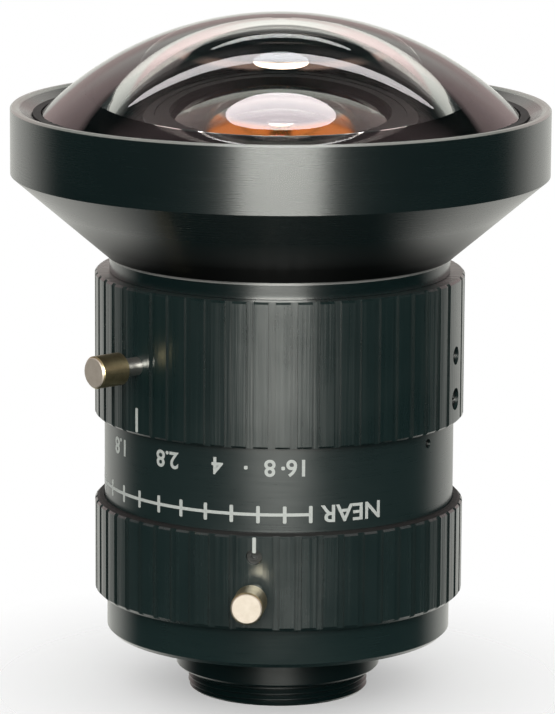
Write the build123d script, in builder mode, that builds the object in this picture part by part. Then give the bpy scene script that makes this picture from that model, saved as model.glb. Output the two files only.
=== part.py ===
from build123d import *
from math import cos, degrees, radians, sin, sqrt
import os

# A wide-angle machine vision lens, in millimetres. It stands on the end of its mount thread:
# the origin is on the optical axis at that end, and +Z points out through the front glass.
# Angles are in degrees about +Z from +X. The photographed side faces -Y.
# Radii are built up from the mount thread by walls and gaps, and heights from the thread's end.

# Clearances and cuts
running_gap = 0.05
screw_gap = 0.05
cut_overrun = 1.0

# Mount thread and flange
mount_thread_diameter = 25.4
mount_thread_pitch = 0.79375
mount_thread_length = 3.2
mount_thread_depth = 0.48
thread_flank_share = 0.44
relief_width = 0.5
relief_depth = 0.55
thread_chamfer = 0.35
mount_wall = 1.7
flange_width = 1.7
flange_height = 5.35
flange_edge_chamfer = 0.3
flange_undercut = 0.2
flange_undercut_width = 0.1
mount_shoulder_width = 3.15
mount_shoulder_height = 2.0

# Rear barrel
rear_ring_step = 1.7
rear_ring_height = 5.5
rear_ring_chamfer = 0.6
rear_floor_thickness = 1.8
shoulder_clearance = 1.1
guide_tube_wall = 2.0

# Grip rings: the focus ring and the iris ring share their grip
flute_count = 54
flute_width = 1.0
flute_depth = 0.35
pad_count = 3
grip_end_gap = 0.05

# Focus ring and the nut inside it
focus_ring_height = 13.75
focus_ring_wall = 2.3
focus_ring_chamfer = 0.6
focus_nut_wall = 2.95
focus_mouth_clearance = 0.1
focus_screw_angle = -97.3
focus_screw_rise = 5.15
focus_set_screw_drop = 3.2
focus_near_turn = 18.3
focus_far_turn = 89.7
focus_lead = 4.0

# Guide pins that ride in the nut's grooves and the barrel's slots
guide_pin_diameter = 2.0
guide_pin_drop = 4.7
guide_pin_angle = -60.0
guide_pin_count = 3
guide_groove_depth = 1.45
guide_pin_inner_reach = 1.85

# Focus stop pin
stop_pin_diameter = 1.4
stop_pin_angle = 20.0
stop_pin_seat_depth = 1.6
stop_pin_reach = 1.1
stop_groove_clearance = 0.3

# Retainer over the focus nut
retainer_width = 2.3
retainer_height = 1.35

# Scale sleeve
sleeve_step = 1.35
sleeve_wall = 1.2
sleeve_visible_height = 11.8
sleeve_overlap = 0.7
sleeve_screw_angle = -33.0
sleeve_screw_drop = 1.7
sleeve_screw_diameter = 1.3
sleeve_screw_count = 2

# Iris ring
iris_ring_height = 20.25
iris_ring_wall = 3.25
iris_ring_chamfer = 0.3
iris_screw_angle = -138.9
iris_screw_rise = 9.7
iris_drive_rise = 3.55
iris_open_turn = 15.1
iris_close_turn = 54.7

# Lock screws with their soft plugs
lock_shank_diameter = 2.5
lock_neck_length = 2.8
lock_head_diameter = 4.5
lock_head_length = 4.8
lock_head_chamfer = 0.3
lock_plug_diameter = 2.4
lock_plug_length = 1.0
lock_plug_gap = 0.02
lock_hole_gap = 0.03

# Set screws in the grips
focus_set_screw_diameter = 2.1
set_screw_socket = 0.9
set_screw_recess = 0.5
set_screw_length = 1.6

# Front barrel
barrel_tube_wall = 2.4
barrel_tube_drop = 12.0
barrel_collar_clearance = 1.6
journal_wall = 2.05
iris_shelf_thickness = 2.6
iris_shelf_width = 3.7
spigot_step = 0.55
spigot_height = 6.3

# Collar ring above the iris ring
collar_wall = 1.8
collar_height = 2.35

# Front hood
hood_base_wall = 2.25
cone_flare = 13.35
cone_height = 11.4
band_height = 9.35
hood_rim_land = 0.8
hood_bevel_width = 2.3
hood_bevel_drop = 1.15
hood_band_chamfer = 0.25
hood_seat_width = 2.7
hood_throat_height = 6.5

# Front element: the large dome
dome_rise = 14.4
dome_edge_drop = 1.55
dome_edge_thickness = 2.2
dome_rear_hollow = 12.1
dome_rear_rim = 10.9

# Front retaining ring
front_ring_overlap = 0.4
front_ring_width = 1.15
front_ring_height = 0.77

# Front cell and the elements in it
front_cell_flange_height = 2.0
front_cell_drop = 14.0
front_cell_neck_step = 0.9
front_cell_height = 10.6
front_cell_neck_wall = 1.55
middle_shelf_height = 1.5
middle_shelf_width = 0.95
second_seat_width = 4.0
second_seat_depth = 4.65
second_edge_thickness = 3.2
second_bulge = 2.6
second_rear_hollow = 3.9
second_rear_rim = 5.5
third_edge_thickness = 4.0
third_bulge = 1.35
third_rear_hollow = 3.0
third_rear_rim = 3.5
fourth_edge_thickness = 2.0
fourth_bulge = 2.8
middle_spacer_wall = 1.3
middle_spacer_height = 6.0
middle_ring_height = 1.5
front_cell_ring_height = 1.3
front_cell_ring_wall = 2.0

# Rear cell and the elements in it
rear_cell_wall = 4.0
rear_cell_floor_thickness = 1.0
rear_snout_clearance = 0.6
rear_snout_end_height = 5.0
rear_snout_wall = 1.85
rear_snout_seat_width = 1.35
doublet_ring_height = 1.4
fifth_centre_thickness = 1.1
fifth_hollow = 1.85
cemented_bulge = 2.65
sixth_edge_thickness = 2.4
sixth_bulge = 1.6
seventh_edge_thickness = 2.0
seventh_bulge = 1.7
seventh_rear_hollow = 0.75
rear_glass_rim = 1.1
rear_air_gap = 0.5
rear_spacer_wall = 0.9
rear_element_thickness = 2.2
rear_element_bulge = 1.0
rear_element_hollow = 1.1
rear_ring_nut_wall = 1.15
rear_ring_nut_height = 1.2
rear_ring_nut_recess = 0.3
rear_cell_ring_height = 1.6
rear_cell_ring_wall = 3.4

# Iris unit
blade_count = 6
blade_thickness = 0.12
blade_gap = 0.08
blade_pivot_inset = 2.7
blade_width = 4.6
blade_rim_inset = 1.5
blade_stop_margin = 0.3
blade_tail_angle = 108.0
blade_head_radius = 1.3
blade_root_share = 3.0
blade_arm_length = 4.5
blade_arm_width = 1.6
blade_arm_angle = -108.0
blade_pin_diameter = 1.0
blade_open_turn = 0.92
blade_closed_turn = 29.7
iris_cup_wall = 3.4
iris_well_step = 1.05
cam_plate_width = 7.5
cam_plate_thickness = 0.8
cam_rim_height = 2.6
cam_rim_width = 1.4
iris_cover_thickness = 0.9
cover_screw_angle = -66.0
cover_screw_count = 3
drive_shank_diameter = 2.0
drive_head_diameter = 3.0
drive_head_height = 1.2
drive_hole_diameter = 3.1
drive_recess = 0.5
drive_count = 2

# Small machine screws
small_screw_diameter = 1.6
small_head_diameter = 2.9
small_head_height = 0.9
small_screw_slot_width = 0.4
small_screw_slot_depth = 0.4
mount_screw_inset = 1.55
mount_screw_count = 3

# Heights of the main joints, from the thread end up
flange_z = mount_thread_length
rear_z = flange_z + flange_height
focus_z = rear_z + rear_ring_height
focus_low = focus_z + grip_end_gap
sleeve_z = focus_low + focus_ring_height
iris_z = sleeve_z + sleeve_visible_height
iris_low = iris_z + grip_end_gap
iris_high = iris_low + iris_ring_height
collar_z = iris_high + grip_end_gap
hood_z = collar_z + collar_height
band_z = hood_z + cone_height
rim_z = band_z + band_height

# Radii from the mount thread out to the grips
thread_radius = mount_thread_diameter / 2
mount_bore_radius = thread_radius - mount_wall
flange_radius = thread_radius + flange_width
mount_shoulder_radius = flange_radius + mount_shoulder_width
mount_screw_circle = mount_shoulder_radius - mount_screw_inset
guide_inner = mount_shoulder_radius + shoulder_clearance
guide_outer = guide_inner + guide_tube_wall
nut_inner = guide_outer + running_gap
nut_outer = nut_inner + focus_nut_wall
grip_radius = nut_outer + focus_ring_wall
rear_ring_radius = grip_radius - rear_ring_step
sleeve_radius = grip_radius - sleeve_step
sleeve_seat = sleeve_radius - sleeve_wall
iris_bore = grip_radius - iris_ring_wall

# Radii inside the iris ring and on to the hood
journal_radius = iris_bore - running_gap
journal_bore = journal_radius - journal_wall
spigot_radius = journal_radius - spigot_step
barrel_outer = guide_inner - running_gap
barrel_inner = barrel_outer - barrel_tube_wall
hood_base_radius = spigot_radius + hood_base_wall
hood_radius = hood_base_radius + cone_flare

# Focus drive
focus_travel_near = focus_lead * focus_near_turn / 360
focus_travel_far = focus_lead * focus_far_turn / 360
focus_mouth_depth = sleeve_overlap + focus_travel_far + focus_mouth_clearance
focus_mouth_z = sleeve_z - focus_mouth_depth
nut_top = focus_mouth_z - 2 * running_gap
guide_top = nut_top + running_gap + retainer_height
guide_pin_radius = guide_pin_diameter / 2
guide_pin_z = sleeve_z - guide_pin_drop
groove_outer = nut_inner + guide_groove_depth
stop_pin_circle = (nut_inner + nut_outer) / 2
focus_screw_z = focus_low + focus_screw_rise
focus_set_screw_z = sleeve_z - focus_set_screw_drop

# Iris unit
shelf_z = iris_z - running_gap
rear_stop_z = shelf_z - iris_shelf_thickness
iris_screw_z = iris_low + iris_screw_rise
drive_z = iris_low + iris_drive_rise
lock_hole_radius = lock_shank_diameter / 2 + lock_hole_gap
iris_cup_outer = journal_bore - running_gap
iris_bore_radius = iris_cup_outer - iris_cup_wall
iris_well_radius = iris_bore_radius - iris_well_step
cam_outer = iris_bore_radius - running_gap
cam_inner = cam_outer - cam_plate_width
cover_screw_circle = (iris_bore_radius + iris_cup_outer) / 2
blade_pivot_radius = iris_well_radius - blade_pivot_inset
blade_outer_radius = blade_pivot_radius - blade_rim_inset
blade_inner_radius = blade_outer_radius - blade_width
stop_radius = blade_inner_radius - blade_stop_margin
blade_pitch = blade_thickness + blade_gap
cam_ratio = (blade_closed_turn - blade_open_turn) / (iris_open_turn + iris_close_turn)
blade_rest_turn = blade_open_turn + cam_ratio * iris_open_turn
cam_rim_z = drive_z - cam_rim_height / 2
well_floor_z = cam_rim_z - blade_gap - blade_count * blade_pitch
cover_z = cam_rim_z + cam_rim_height + running_gap
cell_top_z = collar_z + spigot_height


def on_circle(radius, angle):
    """The point at this radius and angle about the optical axis."""
    return radius * cos(radians(angle)), radius * sin(radians(angle))


def radial_plane(radius, angle, height):
    """A plane square to the radius, facing outwards, with its y axis up."""
    x, y = on_circle(radius, angle)
    outwards = (cos(radians(angle)), sin(radians(angle)), 0)
    sideways = (-sin(radians(angle)), cos(radians(angle)), 0)
    return Plane(origin=(x, y, height), x_dir=sideways, z_dir=outwards)


def turned(points, mode=Mode.ADD):
    """Turn a profile of (radius, height) points about the optical axis."""
    with BuildSketch(Plane.XZ) as profile:
        with BuildLine():
            Polyline(*points, close=True)
        make_face()
    revolve(profile.sketch, axis=Axis.Z, mode=mode)


def tube(low, high, outer, inner):
    """A plain tube between two heights."""
    turned([(inner, low), (outer, low), (outer, high), (inner, high)])


def radial_rod(radius, start, end, angle, height, mode=Mode.ADD):
    """A round rod along a radius."""
    with BuildSketch(radial_plane(start, angle, height)) as section:
        Circle(radius)
    extrude(section.sketch, amount=end - start, mode=mode)


def radial_hole(radius, start, end, angle, height):
    """A round hole along a radius."""
    radial_rod(radius, start, end, angle, height, Mode.SUBTRACT)


def around_slot(radius, start, end, first_angle, last_angle, height):
    """A slot that lets a radial pin swing about the axis between two angles."""
    middle = (first_angle + last_angle) / 2
    corners = [on_circle(start, first_angle), on_circle(start, middle), on_circle(start, last_angle)]
    far_corners = [on_circle(end, last_angle), on_circle(end, middle), on_circle(end, first_angle)]
    with BuildSketch(Plane.XY.offset(height - radius)) as sector:
        with BuildLine():
            ThreePointArc(*corners)
            Line(corners[-1], far_corners[0])
            ThreePointArc(*far_corners)
            Line(far_corners[-1], corners[0])
        make_face()
    extrude(sector.sketch, amount=2 * radius, mode=Mode.SUBTRACT)
    radial_hole(radius, start, end, first_angle, height)
    radial_hole(radius, start, end, last_angle, height)


def fluted_grip(low, high, bore, chamfer_size, first_angle):
    """A grip ring with straight flutes, left plain at its pads and chamfered at both ends."""
    step = 360 / flute_count
    plain_every = flute_count // pad_count
    flutes = [k for k in range(flute_count) if k % plain_every]
    with BuildSketch(Plane.XY.offset(low)) as section:
        Circle(grip_radius)
        for k in flutes:
            angle = first_angle + k * step
            with Locations(Location((*on_circle(grip_radius, angle), 0), (0, 0, angle))):
                Rectangle(2 * flute_depth, flute_width, mode=Mode.SUBTRACT)
        Circle(bore, mode=Mode.SUBTRACT)
    extrude(section.sketch, amount=high - low)
    for end, inwards in ((low, 1), (high, -1)):
        inner = grip_radius - chamfer_size
        outer = grip_radius + cut_overrun
        turned([(inner, end), (outer, end + inwards * (chamfer_size + cut_overrun)),
                (outer, end - inwards * cut_overrun), (inner, end - inwards * cut_overrun)],
               Mode.SUBTRACT)


def curve_radius(depth, clear):
    """The radius of a sphere whose cap is this deep over this clear radius."""
    return (clear**2 + depth**2) / (2 * depth)


def sphere_drop(sphere, radius):
    """How far a sphere falls away from its top at this radius."""
    return sphere - sqrt(sphere**2 - radius**2)


def glass(low, high, edge, front_depth, front_clear, rear_depth, rear_clear):
    """A round lens element. A face of positive depth bulges out of it, a negative one is hollow."""
    def face_points(level, depth, clear, outwards):
        sphere = curve_radius(abs(depth), clear)
        apex = level + outwards * depth
        fall = sphere_drop(sphere, clear / 2) * (outwards if depth > 0 else -outwards)
        return (0, apex), (clear / 2, apex - fall), (clear, level)
    top = face_points(high, front_depth, front_clear, 1)
    bottom = face_points(low, rear_depth, rear_clear, -1)
    with BuildSketch(Plane.XZ) as profile:
        with BuildLine():
            ThreePointArc(*top)
            if front_clear < edge:
                Line(top[-1], (edge, high))
            Line((edge, high), (edge, low))
            if rear_clear < edge:
                Line((edge, low), bottom[-1])
            ThreePointArc(*reversed(bottom))
            Line(bottom[0], top[0])
        make_face()
    revolve(profile.sketch, axis=Axis.Z)


def machine_screw(radius, angle, seat, length):
    """A small slotted screw, head up, with its head seated at a height."""
    place = on_circle(radius, angle)
    with BuildSketch(Plane.XY.offset(seat - length)) as shank:
        with Locations(place):
            Circle(small_screw_diameter / 2)
    extrude(shank.sketch, amount=length)
    with BuildSketch(Plane.XY.offset(seat)) as head:
        with Locations(place):
            Circle(small_head_diameter / 2)
    extrude(head.sketch, amount=small_head_height)
    with BuildSketch(Plane.XY.offset(seat + small_head_height)) as slot:
        with Locations(place):
            Rectangle(small_head_diameter, small_screw_slot_width)
    extrude(slot.sketch, amount=-small_screw_slot_depth, mode=Mode.SUBTRACT)


def screw_hole(radius, angle, low, high, diameter):
    """A straight hole along the optical axis for a small screw."""
    with BuildSketch(Plane.XY.offset(low)) as hole:
        with Locations(on_circle(radius, angle)):
            Circle(diameter / 2)
    extrude(hole.sketch, amount=high - low, mode=Mode.SUBTRACT)


def set_screw(diameter, start, length, angle, height):
    """A headless screw along a radius, with a hexagon socket in its outer end."""
    radial_rod(diameter / 2, start, start + length, angle, height)
    with BuildSketch(radial_plane(start + length, angle, height)) as socket:
        RegularPolygon(set_screw_socket / sqrt(3), 6)
    extrude(socket.sketch, amount=-length / 2, mode=Mode.SUBTRACT)


def lock_screw(start, angle, height):
    """A thumb screw along a radius: shank, bare neck and plain round head."""
    head_start = grip_radius + lock_neck_length
    radial_rod(lock_shank_diameter / 2, start, head_start, angle, height)
    radial_rod(lock_head_diameter / 2, head_start, head_start + lock_head_length, angle, height)
    rims = [edge for edge in edges().filter_by(GeomType.CIRCLE) if edge.radius > lock_shank_diameter / 2]
    chamfer(rims, lock_head_chamfer)


pieces = {}

# Mount: thread, relief groove, flange and the shoulder that the rear barrel holds
relief_radius = thread_radius - relief_depth
mount_shoulder_z = rear_z + rear_floor_thickness
mount_top_z = mount_shoulder_z + mount_shoulder_height
with BuildPart() as c_mount:
    turned([
        (mount_bore_radius, 0),
        (thread_radius - thread_chamfer, 0),
        (thread_radius, thread_chamfer),
        (thread_radius, flange_z - relief_width),
        (relief_radius, flange_z - relief_width),
        (relief_radius, flange_z + flange_undercut),
        (thread_radius + flange_undercut_width, flange_z + flange_undercut),
        (thread_radius + flange_undercut_width, flange_z),
        (flange_radius - flange_edge_chamfer, flange_z),
        (flange_radius, flange_z + flange_edge_chamfer),
        (flange_radius, mount_shoulder_z),
        (mount_shoulder_radius, mount_shoulder_z),
        (mount_shoulder_radius, mount_top_z),
        (mount_bore_radius, mount_top_z),
    ])
    with BuildLine() as thread_path:
        Helix(mount_thread_pitch, flange_z, thread_radius, center=(0, 0, -mount_thread_pitch))
    with BuildSketch(Plane(thread_path.line @ 0, x_dir=(1, 0, 0), z_dir=thread_path.line % 0)) as groove:
        half_flank = mount_thread_pitch * thread_flank_share
        with BuildLine():
            Polyline((-mount_thread_depth, 0), (0, half_flank), (mount_thread_depth, 2 * half_flank),
                     (mount_thread_depth, -2 * half_flank), (0, -half_flank), close=True)
        make_face()
    sweep(sections=groove.sketch, path=thread_path.line, is_frenet=True, mode=Mode.SUBTRACT)
    for k in range(mount_screw_count):
        screw_hole(mount_screw_circle, k * 360 / mount_screw_count, mount_shoulder_z, mount_top_z,
                   small_screw_diameter + 2 * screw_gap)
pieces["c_mount"] = c_mount

# Rear barrel: the smooth rear ring and the guide tube inside the focus ring
mount_screw_end = rear_z + rear_floor_thickness / 4
with BuildPart() as rear_barrel:
    turned([
        (flange_radius + screw_gap, rear_z),
        (rear_ring_radius - rear_ring_chamfer, rear_z),
        (rear_ring_radius, rear_z + rear_ring_chamfer),
        (rear_ring_radius, focus_z),
        (guide_outer, focus_z),
        (guide_outer, guide_top),
        (guide_inner, guide_top),
        (guide_inner, mount_top_z + running_gap),
        (mount_shoulder_radius + screw_gap, mount_top_z + running_gap),
        (mount_shoulder_radius + screw_gap, mount_shoulder_z),
        (flange_radius + screw_gap, mount_shoulder_z),
    ])
    for k in range(mount_screw_count):
        screw_hole(mount_screw_circle, k * 360 / mount_screw_count, mount_screw_end,
                   mount_shoulder_z, small_screw_diameter)
    for k in range(guide_pin_count):
        angle = guide_pin_angle + k * 360 / guide_pin_count
        slot_low = guide_pin_z - focus_travel_far
        slot_high = guide_pin_z + focus_travel_near
        slot_length = slot_high - slot_low + guide_pin_diameter + 2 * running_gap
        with BuildSketch(radial_plane(guide_inner - cut_overrun, angle, (slot_low + slot_high) / 2)):
            SlotOverall(slot_length, guide_pin_diameter + 2 * running_gap, rotation=90)
        extrude(amount=guide_tube_wall + 2 * cut_overrun, mode=Mode.SUBTRACT)
    screw_hole(stop_pin_circle, stop_pin_angle, focus_z - stop_pin_seat_depth, focus_z,
               stop_pin_diameter)
pieces["rear_barrel"] = rear_barrel

# Screws that hold the mount in the rear barrel
with BuildPart() as mount_screws:
    for k in range(mount_screw_count):
        machine_screw(mount_screw_circle, k * 360 / mount_screw_count, mount_top_z,
                      mount_top_z - mount_screw_end)
pieces["mount_screws"] = mount_screws

# Pin that stops the focus ring at both ends of its turn
with BuildPart() as focus_stop_pin:
    with BuildSketch(Plane.XY.offset(focus_z - stop_pin_seat_depth)):
        with Locations(on_circle(stop_pin_circle, stop_pin_angle)):
            Circle(stop_pin_diameter / 2)
    extrude(amount=stop_pin_seat_depth + stop_pin_reach)
pieces["focus_stop_pin"] = focus_stop_pin

# Ring on the guide tube that keeps the focus nut down
with BuildPart() as focus_retainer:
    tube(guide_top - retainer_height, guide_top, guide_outer + retainer_width, guide_outer)
pieces["focus_retainer"] = focus_retainer

# Focus grip ring
focus_hole_start = nut_outer - cut_overrun
with BuildPart() as focus_ring:
    fluted_grip(focus_low, sleeve_z, nut_outer, focus_ring_chamfer, focus_screw_angle)
    turned([
        (nut_outer - cut_overrun, focus_mouth_z),
        (sleeve_radius + focus_mouth_clearance, focus_mouth_z),
        (sleeve_radius + focus_mouth_clearance, sleeve_z + cut_overrun),
        (nut_outer - cut_overrun, sleeve_z + cut_overrun),
    ], Mode.SUBTRACT)
    radial_hole(lock_hole_radius, focus_hole_start, grip_radius + cut_overrun, focus_screw_angle,
                focus_screw_z)
    for k in range(pad_count):
        radial_hole(focus_set_screw_diameter / 2 + screw_gap, focus_hole_start,
                    grip_radius + cut_overrun, focus_screw_angle + k * 360 / pad_count,
                    focus_set_screw_z)
pieces["focus_ring"] = focus_ring

# Focus nut: its three helical grooves move the front barrel in and out
groove_margin = degrees((guide_pin_radius + running_gap) / nut_inner)
groove_turn = focus_near_turn + focus_far_turn + 2 * groove_margin
groove_rise = focus_lead * groove_turn / 360
groove_middle = (nut_inner - cut_overrun + groove_outer) / 2
groove_start_z = guide_pin_z - focus_travel_far - focus_lead * groove_margin / 360
with BuildPart() as helical_groove:
    with BuildLine() as groove_path:
        Helix(focus_lead, groove_rise, groove_middle, center=(0, 0, groove_start_z), lefthand=True)
    with BuildSketch(Plane(groove_path.line @ 0, x_dir=(1, 0, 0), z_dir=groove_path.line % 0)):
        Rectangle(2 * (groove_outer - groove_middle), guide_pin_diameter + 2 * running_gap)
    sweep(path=groove_path.line, is_frenet=True)
with BuildPart() as focus_nut:
    tube(focus_low, nut_top, nut_outer, nut_inner)
    for k in range(guide_pin_count):
        last_angle = guide_pin_angle + focus_far_turn + groove_margin + k * 360 / guide_pin_count
        add(Rot(0, 0, last_angle) * helical_groove.part, mode=Mode.SUBTRACT)
    radial_hole(lock_hole_radius, guide_outer, nut_outer + cut_overrun, focus_screw_angle, focus_screw_z)
    stop_inner = stop_pin_circle - stop_pin_diameter / 2 - running_gap
    stop_outer = stop_pin_circle + stop_pin_diameter / 2 + running_gap
    with BuildSketch(Plane.XY.offset(focus_low)):
        with BuildLine():
            first_angle = stop_pin_angle - focus_near_turn
            last_angle = stop_pin_angle + focus_far_turn
            middle_angle = (first_angle + last_angle) / 2
            ThreePointArc(*(on_circle(stop_inner, a) for a in (first_angle, middle_angle, last_angle)))
            Line(on_circle(stop_inner, last_angle), on_circle(stop_outer, last_angle))
            ThreePointArc(*(on_circle(stop_outer, a) for a in (last_angle, middle_angle, first_angle)))
            Line(on_circle(stop_outer, first_angle), on_circle(stop_inner, first_angle))
        make_face()
        with Locations(*(on_circle(stop_pin_circle, a) for a in (first_angle, last_angle))):
            Circle(stop_pin_diameter / 2 + running_gap)
    extrude(amount=stop_pin_reach + stop_groove_clearance, mode=Mode.SUBTRACT)
pieces["focus_nut"] = focus_nut

# Set screws that clamp the focus grip on its nut
with BuildPart() as focus_set_screws:
    for k in range(pad_count):
        set_screw(focus_set_screw_diameter, nut_outer, grip_radius - set_screw_recess - nut_outer,
                  focus_screw_angle + k * 360 / pad_count, focus_set_screw_z)
pieces["focus_set_screws"] = focus_set_screws

# Focus lock: soft plug and thumb screw
focus_plug_start = nut_inner + lock_plug_gap
with BuildPart() as focus_lock_plug:
    radial_rod(lock_plug_diameter / 2, focus_plug_start, focus_plug_start + lock_plug_length,
               focus_screw_angle, focus_screw_z)
pieces["focus_lock_plug"] = focus_lock_plug
with BuildPart() as focus_lock_screw:
    lock_screw(focus_plug_start + lock_plug_length, focus_screw_angle, focus_screw_z)
pieces["focus_lock_screw"] = focus_lock_screw

# Front barrel: the moving body that carries the iris and the glass
barrel_low = guide_top - barrel_tube_drop
flange_low = guide_top + barrel_collar_clearance
barrel_top = cell_top_z
drive_angles = [iris_screw_angle + (k + 1) * 360 / pad_count for k in range(drive_count)]
cover_screw_angles = [cover_screw_angle + k * 360 / cover_screw_count for k in range(cover_screw_count)]
with BuildPart() as front_barrel:
    turned([
        (barrel_inner, barrel_low),
        (barrel_outer, barrel_low),
        (barrel_outer, flange_low),
        (sleeve_seat, flange_low),
        (sleeve_seat, iris_z),
        (journal_radius, iris_z),
        (journal_radius, collar_z),
        (spigot_radius, collar_z),
        (spigot_radius, barrel_top),
        (journal_bore, barrel_top),
        (journal_bore, shelf_z),
        (barrel_inner - iris_shelf_width, shelf_z),
        (barrel_inner - iris_shelf_width, rear_stop_z),
        (barrel_inner, rear_stop_z),
    ])
    for k in range(guide_pin_count):
        radial_hole(guide_pin_radius, barrel_inner - cut_overrun, barrel_outer + cut_overrun,
                    guide_pin_angle + k * 360 / guide_pin_count, guide_pin_z)
    for angle in drive_angles:
        around_slot(drive_shank_diameter / 2 + running_gap, journal_bore - cut_overrun,
                    journal_radius + cut_overrun, angle - iris_open_turn, angle + iris_close_turn, drive_z)
    for angle in cover_screw_angles:
        screw_hole(cover_screw_circle, angle, shelf_z - iris_shelf_thickness / 2, shelf_z,
                   small_screw_diameter)
pieces["front_barrel"] = front_barrel

# Guide pins pressed into the front barrel
with BuildPart() as guide_pins:
    for k in range(guide_pin_count):
        radial_rod(guide_pin_radius, barrel_outer - guide_pin_inner_reach, groove_outer - running_gap,
                   guide_pin_angle + k * 360 / guide_pin_count, guide_pin_z)
pieces["guide_pins"] = guide_pins

# Scale sleeve around the front barrel
sleeve_screw_z = iris_z - sleeve_screw_drop
sleeve_screw_step = 360 / sleeve_screw_count
sleeve_screw_angles = [sleeve_screw_angle + k * sleeve_screw_step for k in range(sleeve_screw_count)]
with BuildPart() as scale_sleeve:
    tube(sleeve_z - sleeve_overlap, iris_z, sleeve_radius, sleeve_seat)
    for angle in sleeve_screw_angles:
        radial_hole(sleeve_screw_diameter / 2, sleeve_seat - cut_overrun, sleeve_radius + cut_overrun,
                    angle, sleeve_screw_z)
pieces["scale_sleeve"] = scale_sleeve

# Set screws that hold the sleeve
with BuildPart() as sleeve_screws:
    for angle in sleeve_screw_angles:
        radial_rod(sleeve_screw_diameter / 2 - screw_gap, sleeve_seat,
                   sleeve_radius - sleeve_wall / 4, angle, sleeve_screw_z)
pieces["sleeve_screws"] = sleeve_screws

# Iris grip ring
iris_hole_start = iris_bore - cut_overrun
with BuildPart() as iris_ring:
    fluted_grip(iris_low, iris_high, iris_bore, iris_ring_chamfer, iris_screw_angle)
    for k in range(pad_count):
        radial_hole(lock_hole_radius, iris_hole_start, grip_radius + cut_overrun,
                    iris_screw_angle + k * 360 / pad_count, iris_screw_z)
    for angle in drive_angles:
        radial_hole(drive_shank_diameter / 2 + screw_gap, iris_hole_start, grip_radius + cut_overrun,
                    angle, drive_z)
        radial_hole(drive_hole_diameter / 2, grip_radius - drive_recess - drive_head_height,
                    grip_radius + cut_overrun, angle, drive_z)
pieces["iris_ring"] = iris_ring

# Screws that turn the cam ring with the iris ring
with BuildPart() as iris_drive_screws:
    for angle in drive_angles:
        head_start = grip_radius - drive_recess - drive_head_height
        radial_rod(drive_shank_diameter / 2, cam_outer - cam_rim_width / 2, head_start, angle, drive_z)
        radial_rod(drive_head_diameter / 2, head_start, head_start + drive_head_height, angle, drive_z)
        with BuildSketch(radial_plane(head_start + drive_head_height, angle, drive_z)):
            Rectangle(drive_head_diameter, small_screw_slot_width)
        extrude(amount=-small_screw_slot_depth, mode=Mode.SUBTRACT)
pieces["iris_drive_screws"] = iris_drive_screws

# Plugging screws in the iris ring's two spare lock holes
with BuildPart() as iris_set_screws:
    for angle in drive_angles:
        screw_start = grip_radius - set_screw_recess - set_screw_length
        set_screw(lock_shank_diameter - 2 * lock_hole_gap, screw_start, set_screw_length, angle,
                  iris_screw_z)
pieces["iris_set_screws"] = iris_set_screws

# Iris lock: soft plug and thumb screw
iris_plug_start = iris_bore + lock_plug_gap
with BuildPart() as iris_lock_plug:
    radial_rod(lock_plug_diameter / 2, iris_plug_start, iris_plug_start + lock_plug_length,
               iris_screw_angle, iris_screw_z)
pieces["iris_lock_plug"] = iris_lock_plug
with BuildPart() as iris_lock_screw:
    lock_screw(iris_plug_start + lock_plug_length, iris_screw_angle, iris_screw_z)
pieces["iris_lock_screw"] = iris_lock_screw

# Iris base: the cup that holds the blades and the cam ring
with BuildPart() as iris_base:
    turned([
        (stop_radius, shelf_z),
        (iris_cup_outer, shelf_z),
        (iris_cup_outer, cover_z),
        (iris_bore_radius, cover_z),
        (iris_bore_radius, cam_rim_z - running_gap),
        (iris_well_radius, cam_rim_z - running_gap),
        (iris_well_radius, well_floor_z),
        (stop_radius, well_floor_z),
    ])
    for k in range(blade_count):
        screw_hole(blade_pivot_radius, k * 360 / blade_count, shelf_z + running_gap, well_floor_z,
                   blade_pin_diameter + 2 * running_gap)
    for angle in drive_angles:
        around_slot(drive_shank_diameter / 2 + running_gap, iris_bore_radius - cut_overrun,
                    iris_cup_outer + cut_overrun, angle - iris_open_turn, angle + iris_close_turn, drive_z)
    for angle in cover_screw_angles:
        screw_hole(cover_screw_circle, angle, shelf_z, cover_z, small_screw_diameter + 2 * screw_gap)
pieces["iris_base"] = iris_base


def cam_pin_place(ring_turn):
    """Where a blade's drive pin stands in the cam ring, once the ring has turned from rest."""
    blade_turn = blade_rest_turn + cam_ratio * ring_turn
    x, y = on_circle(blade_arm_length, blade_arm_angle + blade_turn)
    x = x + blade_pivot_radius
    back = radians(-ring_turn)
    return x * cos(back) - y * sin(back), x * sin(back) + y * cos(back)


# Cam ring: its slots swing the blades as the iris ring turns
slot_points = 9
slot_margin = degrees(blade_pin_diameter / blade_pivot_radius)
slot_turn = iris_open_turn + iris_close_turn + 2 * slot_margin
slot_step = slot_turn / (slot_points - 1)
first_turn = -iris_open_turn - slot_margin
slot_path_points = [cam_pin_place(first_turn + k * slot_step) for k in range(slot_points)]
with BuildPart() as iris_cam_ring:
    turned([
        (cam_inner, cam_rim_z),
        (cam_outer, cam_rim_z),
        (cam_outer, cam_rim_z + cam_rim_height),
        (cam_outer - cam_rim_width, cam_rim_z + cam_rim_height),
        (cam_outer - cam_rim_width, cam_rim_z + cam_plate_thickness),
        (cam_inner, cam_rim_z + cam_plate_thickness),
    ])
    for k in range(blade_count):
        slot_plane = Plane.XY.rotated((0, 0, k * 360 / blade_count)).offset(cam_rim_z)
        with BuildSketch(slot_plane):
            with BuildLine():
                slot_line = Spline(*slot_path_points)
            trace(slot_line, blade_pin_diameter + 2 * running_gap)
        extrude(amount=cam_plate_thickness, mode=Mode.SUBTRACT)
    for angle in drive_angles:
        radial_hole(drive_shank_diameter / 2, cam_outer - cam_rim_width / 2, cam_outer + cut_overrun,
                    angle, drive_z)
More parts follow.
